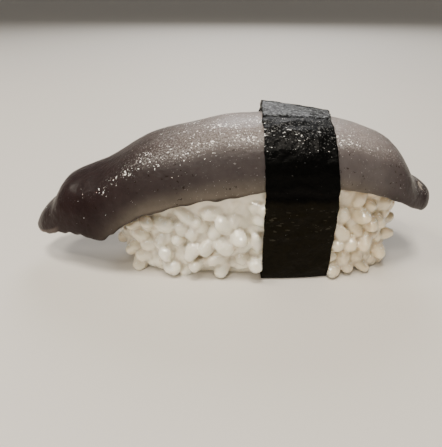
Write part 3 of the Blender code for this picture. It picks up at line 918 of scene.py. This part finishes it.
grains = bpy.data.collections.new("grains")
for bend, taper in GRAIN_SHAPES:
    bm = bmesh.new()
    rings = []
    for i in range(1, GRAIN_RINGS):
        turn = math.pi * i / GRAIN_RINGS
        along = -math.cos(turn)
        girth = math.sin(turn) ** GRAIN_BLUNT * (1 + taper * along) / 2
        ring = []
        for k in range(GRAIN_SIDES):
            a = 2 * math.pi * k / GRAIN_SIDES
            y = (girth * math.cos(a) + bend * (1 - along**2)) * GRAIN_WIDTH
            z = girth * math.sin(a) * GRAIN_FLAT * GRAIN_WIDTH
            ring.append(bm.verts.new((along * GRAIN_LENGTH / 2, y, z)))
        rings.append(ring)
    for first, second in zip(rings, rings[1:]):
        for k in range(GRAIN_SIDES):
            j = (k + 1) % GRAIN_SIDES
            bm.faces.new((first[k], first[j], second[j], second[k]))
    for ring, end in ((rings[0], -1), (rings[-1], 1)):
        tip = bm.verts.new((end * GRAIN_LENGTH / 2, 0, 0))
        for k in range(GRAIN_SIDES):
            bm.faces.new((ring[k], ring[(k + 1) % GRAIN_SIDES], tip))
    bmesh.ops.recalc_face_normals(bm, faces=bm.faces)
    mesh = bpy.data.meshes.new("grain")
    bm.to_mesh(mesh)
    bm.free()
    grains.objects.link(bpy.data.objects.new("grain", mesh))
print("faces in a grain:", len(mesh.polygons))

# %% [markdown]
# ### Scattering and pressing
#
# Two trees do this. The first scatters points that keep their distance, puts a random grain on
# each, turned every way and sunk by a random amount, and joins them to the core. It does so
# twice, and the second layer, which lies deeper, fills what shows between the first. After the
# heap is fused, the second tree presses it: a ray straight up finds the topping over each point,
# a ray straight out finds the nori beside it, and a point that would stick through either is
# moved back to it, as a real grain is squeezed.


# %% Sockets of a Geometry Nodes tree
def new_tree(name, sockets):
    tree = bpy.data.node_groups.new(name, "GeometryNodeTree")
    geometry = "NodeSocketGeometry"
    tree.interface.new_socket("Geometry", in_out="INPUT", socket_type=geometry)
    tree.interface.new_socket("Geometry", in_out="OUTPUT", socket_type=geometry)
    for label, kind in sockets.items():
        tree.interface.new_socket(label, in_out="INPUT", socket_type="NodeSocket" + kind)
    return tree, node(tree, "NodeGroupInput").outputs


def run_tree(piece, tree, values):
    """Runs a tree on a piece with these named inputs, and keeps the plain mesh it makes."""
    modifier = piece.modifiers.new(tree.name, "NODES")
    modifier.node_group = tree
    for item in tree.interface.items_tree:
        if item.in_out == "INPUT" and item.name in values:
            modifier[item.identifier] = values[item.name]
    return settle(piece)


def random_vector(tree, low, high, seed):
    inputs = {0: low, 1: high, "Seed": seed}
    return node(tree, "FunctionNodeRandomValue", inputs, data_type="FLOAT_VECTOR").outputs[0]


def random_number(tree, low, high, seed):
    inputs = {2: low, 3: high, "Seed": seed}
    return node(tree, "FunctionNodeRandomValue", inputs, data_type="FLOAT").outputs[1]


# %% Shapes of other pieces, and the gap to them
def shape_of(tree, piece):
    return node(tree, "GeometryNodeObjectInfo", {"Object": piece}).outputs["Geometry"]


def gap_to(tree, shape):
    proximity = node(tree, "GeometryNodeProximity", {0: shape}, target_element="FACES")
    return proximity.outputs["Distance"]


# %% The tree that scatters the grains
DENSEST = 1 / (0.8 * MM) ** 2
SQUEEZE_GAP = (4.2 * MM, 1.5 * MM)
SQUEEZE_DEPTH = 1.3 * MM

sockets = {"Core": "Object", "Grains": "Collection", "Topping": "Object", "Spacing": "Float"}
sockets |= {"Deepest": "Float", "Highest": "Float", "Seed": "Int", "Material": "Material"}
tree, given = new_tree("rice_grains", sockets)


def sunk_points(seed, sink):
    """Points over the skin, moved in by a random depth and by sink, and their rotations."""
    inputs = {
        "Mesh": given["Geometry"],
        "Distance Min": given["Spacing"],
        "Density Max": DENSEST,
        "Seed": seed,
    }
    kind = "GeometryNodeDistributePointsOnFaces"
    spots = node(tree, kind, inputs, distribute_method="POISSON").outputs
    squeeze = ramp(tree, gap_to(tree, shape_of(tree, given["Topping"])), *SQUEEZE_GAP)
    depth = random_number(tree, given["Deepest"], given["Highest"], seed)
    depth = maths(tree, "SUBTRACT", depth, maths(tree, "MULTIPLY", squeeze, SQUEEZE_DEPTH))
    depth = maths(tree, "SUBTRACT", depth, sink)
    inputs = {0: spots["Normal"], "Scale": depth}
    shift = node(tree, "ShaderNodeVectorMath", inputs, operation="SCALE").outputs[0]
    inputs = {"Geometry": spots["Points"], "Offset": shift}
    return node(tree, "GeometryNodeSetPosition", inputs).outputs[0], spots["Rotation"]


# %% The same tree: a grain on each point
LEAN = (3.1, 1.3, 0)
SMALLEST, LARGEST = (0.86, 0.88, 0.88), (1.08, 1.08, 1.08)
UNDER_LAYER = 1.2 * MM
LEAN_SEED, SIZE_SEED, TONE_SEED = 50, 90, 7

inputs = {"Collection": given["Grains"], "Separate Children": True, "Reset Children": True}
kinds = node(tree, "GeometryNodeCollectionInfo", inputs).outputs[0]


def turned(rotation, most, seed):
    """The rotation turned further, by up to these angles either way."""
    angles = random_vector(tree, tuple(-a for a in most), most, seed)
    inputs = {"Rotation": rotation, "Rotate By": angles}
    return node(tree, "FunctionNodeRotateRotation", inputs, rotation_space="LOCAL").outputs[0]


def scattered(seed_shift, sink):
    """Grains over the skin, sunk by this much more than the random depth."""
    seed = maths(tree, "ADD", given["Seed"], seed_shift)
    placed, rotation = sunk_points(seed, sink)
    rotation = turned(rotation, (0, 0, math.pi), seed)
    rotation = turned(rotation, LEAN, maths(tree, "ADD", seed, LEAN_SEED))
    inputs = {
        "Points": placed,
        "Instance": kinds,
        "Pick Instance": True,
        "Rotation": rotation,
        "Scale": random_vector(tree, SMALLEST, LARGEST, maths(tree, "ADD", seed, SIZE_SEED)),
    }
    return node(tree, "GeometryNodeInstanceOnPoints", inputs).outputs[0]


# %% The same tree: both layers, each grain's tone, and the core
both = node(tree, "GeometryNodeJoinGeometry")
for layer in (scattered(1, UNDER_LAYER), scattered(0, 0.0)):
    tree.links.new(layer, both.inputs[0])
tone = random_number(tree, 0.0, 1.0, TONE_SEED)
inputs = {"Geometry": both.outputs[0], "Name": "tone", "Value": tone}
options = {"data_type": "FLOAT", "domain": "INSTANCE"}
toned = node(tree, "GeometryNodeStoreNamedAttribute", inputs, **options).outputs[0]
real = node(tree, "GeometryNodeRealizeInstances", {"Geometry": toned}).outputs[0]
whole = node(tree, "GeometryNodeJoinGeometry")
for layer in (shape_of(tree, given["Core"]), real):
    tree.links.new(layer, whole.inputs[0])
finished = node(tree, "GeometryNodeSetMaterial", {0: whole.outputs[0], 2: given["Material"]})
node(tree, "NodeGroupOutput", {0: finished.outputs[0]})
scatter_tree = tree
print("scattering tree:", len(tree.nodes), "nodes")

# %% The tree that presses the rice
PRESS_GAP = 0.06 * MM
GROOVE = 0.95 * MM
TABLE_GAP = 0.02 * MM
RAY_LENGTH = 100 * MM

sockets = dict.fromkeys(("Heap", "Core", "Topping", "Nori"), "Object")
tree, given = new_tree("pressed_rice", {**sockets, "Material": "Material"})


def vector(x, y, z):
    return node(tree, "ShaderNodeCombineXYZ", {0: x, 1: y, 2: z}).outputs[0]


def parts(value):
    return node(tree, "ShaderNodeSeparateXYZ", {0: value}).outputs


def chosen(condition, otherwise, when):
    inputs = {"Switch": condition, "False": otherwise, "True": when}
    return node(tree, "GeometryNodeSwitch", inputs, input_type="FLOAT").outputs[0]


def cast(target, start, direction):
    inputs = {
        "Target Geometry": target,
        "Source Position": start,
        "Ray Direction": direction,
        "Ray Length": RAY_LENGTH,
    }
    ray = node(tree, "GeometryNodeRaycast", inputs)
    return ray.outputs["Is Hit"], parts(ray.outputs["Hit Position"])


# %% The same tree: rays up to the topping, and out to the nori
RAYS_UP_FROM = -10 * MM
RAYS_OUT_FROM = 1.5 * MM
UPWARD = (0, 0, 1)

x, y, z = parts(node(tree, "GeometryNodeInputPosition").outputs[0])
covered, ceiling = cast(shape_of(tree, given["Topping"]), vector(x, y, RAYS_UP_FROM), UPWARD)
ceiling = maths(tree, "SUBTRACT", ceiling[2], PRESS_GAP)
low_enough = chosen(covered, z, maths(tree, "MINIMUM", z, ceiling))
side = maths(tree, "SIGN", y)
start = vector(x, 0.0, maths(tree, "MAXIMUM", low_enough, RAYS_OUT_FROM))
banded, wall = cast(shape_of(tree, given["Nori"]), start, vector(0.0, side, 0.0))
wall = maths(tree, "SUBTRACT", maths(tree, "ABSOLUTE", wall[1]), PRESS_GAP)
squeezed = maths(tree, "MINIMUM", maths(tree, "ABSOLUTE", y), wall)
narrow_enough = chosen(banded, y, maths(tree, "MULTIPLY", side, squeezed))
lowest = chosen(banded, TABLE_GAP, GROOVE)
moved = vector(x, narrow_enough, maths(tree, "MAXIMUM", low_enough, lowest))
fitted = node(tree, "GeometryNodeSetPosition", {0: given["Geometry"], 2: moved}).outputs[0]

# %% The same tree: each grain's tone, the damp and shaded edge, and what is sunk, as masks for painted shade
DAMP_AND_SHADE_GAP = (5 * MM, 0.5 * MM)
CLEFT_SHADE_GAP = (1.5 * MM, 0.2 * MM)


def kept(geometry, name, value):
    inputs = {0: geometry, "Name": name, "Value": value}
    return node(tree, "GeometryNodeStoreNamedAttribute", inputs, domain="POINT").outputs[0]


grain_tone = node(tree, "GeometryNodeInputNamedAttribute", {"Name": "tone"}).outputs[0]
inputs = {0: shape_of(tree, given["Heap"]), 1: grain_tone}
nearest = node(tree, "GeometryNodeSampleNearestSurface", inputs).outputs[0]
toned = kept(fitted, "tone", nearest)
to_slab = gap_to(tree, shape_of(tree, given["Topping"]))
# Near the topping the rice is damp and in its shade: its colour there is partly painted shade.
damp = kept(toned, "damp", ramp(tree, to_slab, *DAMP_AND_SHADE_GAP))
to_core = gap_to(tree, shape_of(tree, given["Core"]))
# Points near the core, in the clefts, are marked for painted shade.
sunk = kept(damp, "sunk", ramp(tree, to_core, *CLEFT_SHADE_GAP))
smooth = node(tree, "GeometryNodeSetShadeSmooth", {0: sunk}).outputs[0]
finished = node(tree, "GeometryNodeSetMaterial", {0: smooth, 2: given["Material"]})
node(tree, "NodeGroupOutput", {0: finished.outputs[0]})
press_tree = tree
print("pressing tree:", len(tree.nodes), "nodes")


# %% [markdown]
# ## The look of the rice
#
# A cooked grain is translucent, so its edges glow and its neighbours tint it. The squeezed layer
# is damp, lets the topping through and lies in its shade, so its beige is partly its own and
# partly painted shade. The clefts between the grains are darkened with painted shade, the ends
# get painted shade and warm painted bounce light, each grain has a tone of its own, and all of
# this is stored as attributes. A wet film is a clear coat of a high index, and it catches the
# small lamp in sharp points. Pale scraps on the tops that face up are painted glints.

# %% Colour of the rice
RICE_WHITE = (0.92, 0.88, 0.755, 1)
RICE_CLEAR = (0.77, 0.725, 0.61, 1)
RICE_CLEFT_SHADE = (0.60, 0.535, 0.41, 1)
RICE_DAMP_AND_SHADE = (0.88, 0.80, 0.66, 1)
RICE_GLINT = (0.99, 0.97, 0.93, 1)
RICE_ENDS_SHADE = (0.89, 0.80, 0.66, 1)
SHADED_ENDS = (14 * MM, 30 * MM)
CLEFT_SHADE_SHARE = 0.7
CONTRAST, CONTRAST_LOST = 0.75, 0.35
GLINTS = (0.50 * MM, 0.80, 0.55, 0.85)

rice_look, tree, shader = new_material(
    "cooked_rice",
    Roughness=0.32,
    IOR=1.38,
    Subsurface_Weight=0.5,
    Subsurface_Radius=(1.0, 0.85, 0.65),
    Subsurface_Scale=2.0 * MM,
    Coat_Weight=1.0,
    Coat_Roughness=0.10,
    Coat_IOR=2.1,
)
place = node(tree, "ShaderNodeTexCoord").outputs["Object"]
x = node(tree, "ShaderNodeSeparateXYZ", {0: place}).outputs[0]
# Towards the ends: painted shade and painted warm bounce light, with softer painted cleft shade.
ends = ramp(tree, maths(tree, "ABSOLUTE", x), *SHADED_ENDS)
contrast = maths(tree, "SUBTRACT", CONTRAST, maths(tree, "MULTIPLY", ends, CONTRAST_LOST))
# Painted shade in the clefts between the grains.
sunk = maths(tree, "MULTIPLY", attribute(tree, "sunk"), CLEFT_SHADE_SHARE)
sunk = maths(tree, "MAXIMUM", sunk, attribute(tree, "hollow"))
colour = mixed(tree, attribute(tree, "tone"), RICE_WHITE, RICE_CLEAR)
colour = tinted(tree, colour, sunk, contrast, RICE_CLEFT_SHADE)
# Damp colour under the topping, partly painted shade.
colour = mixed(tree, attribute(tree, "damp"), colour, RICE_DAMP_AND_SHADE)
colour = mixed(tree, ends, colour, RICE_ENDS_SHADE, "MULTIPLY")
# Pale scraps on the tops are painted glints.
colour = speckled(tree, colour, place, attribute(tree, "glint"), GLINTS, RICE_GLINT)
tree.links.new(colour, shader.inputs["Base Color"])

# %% Bumps and beads of moisture on the rice
GRAIN_BUMP = (0.9 * MM, 0.06 * MM)
BEAD_BUMP = (0.6 * MM, 0.11 * MM)

soft = bumped(tree, noise_texture(tree, place, GRAIN_BUMP[0]), GRAIN_BUMP[1])
tree.links.new(soft, shader.inputs["Normal"])
beads = bumped(tree, noise_texture(tree, place, BEAD_BUMP[0]), BEAD_BUMP[1], soft)
tree.links.new(beads, shader.inputs["Coat Normal"])
print("look of the rice:", len(tree.nodes), "nodes")


# %% [markdown]
# ## The rice, made with those trees
#
# Separate grains would leave hard seams where they cross. A voxel remesh fuses them into one
# skin, a smoothing pass softens it, and thinning it out brings its triangles down. Shallow dents
# keep the grains from looking moulded. How far a point lies below its neighbours says where the
# clefts are, which get painted shade, and the tops that face the light get painted glints.

# %% Scatter the grains
heap = skin
heap.name = "grain_heap"
run_tree(
    heap,
    scatter_tree,
    {
        "Core": core,
        "Grains": grains,
        "Topping": topping,
        "Spacing": 3.1 * MM,
        "Deepest": -1.9 * MM,
        "Highest": 0.0,
        "Seed": 4,
        "Material": rice_look,
    },
)
print("loose grains:", triangles(heap), "triangles")

# %% How hollow a surface is
HOLLOW_ROUNDS = 8
HOLLOW_RANGE = (0.01 * MM, 0.14 * MM)


def hollowness(piece):
    """How far each point lies below its neighbourhood: above 0 in a cleft, below on a bulge."""
    points = points_of(piece)
    level = neighbourhood(piece, points, HOLLOW_ROUNDS)
    return np.sum((level - points) * normals_of(piece), axis=1)


# %% Fuse them
FUSE_VOXEL = 0.27 * MM
SOFTEN_SHARE = 0.5
SOFTEN_ROUNDS = 1
KEPT_SHARE = 0.62

rice = bpy.data.objects.new("rice", heap.data.copy())
bpy.context.scene.collection.objects.link(rice)
fuse = rice.modifiers.new("fuse", "REMESH")
fuse.mode = "VOXEL"
fuse.voxel_size = FUSE_VOXEL
soften = rice.modifiers.new("soften", "SMOOTH")
soften.factor = SOFTEN_SHARE
soften.iterations = SOFTEN_ROUNDS
rice.modifiers.new("thin_out", "DECIMATE").ratio = KEPT_SHARE
settle(rice)
print("faulty faces taken out:", rice.data.validate())

# %% Dent the grains, and press them under the topping and the nori
DENT = (1.7 * MM, 0.26 * MM)
FINE_DENT = (0.8 * MM, 0.07 * MM)
GLINT_FACING = (0.0, 0.8)

points = points_of(rice)
dents = noise_relief(points, DENT, 12) + noise_relief(points, FINE_DENT, 13)
move_points(rice, points + normals_of(rice) * dents[:, None])
pressing = {"Heap": heap, "Core": core, "Topping": topping, "Nori": nori}
run_tree(rice, press_tree, {**pressing, "Material": rice_look})
hollow = hollowness(rice)
print("hollows, in mm:", [round(v / MM, 3) for v in np.percentile(hollow, (5, 50, 75, 95))])
# A mask for painted shade in the clefts.
hollow = step(*HOLLOW_RANGE, hollow)
add_attribute(rice, "hollow", hollow)
# Tops that face up, outside the clefts, get painted glints.
facing_up = step(*GLINT_FACING, normals_of(rice)[:, 2])
add_attribute(rice, "glint", facing_up * (1 - hollow))

# %% Clear away the helpers, and give the rice its place in the frame
for helper in [heap, core, *grains.objects]:
    bpy.data.objects.remove(helper)
bpy.data.collections.remove(grains)
print("rice:", triangles(rice), "triangles")
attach(rice, "root")
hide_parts("rice_block")
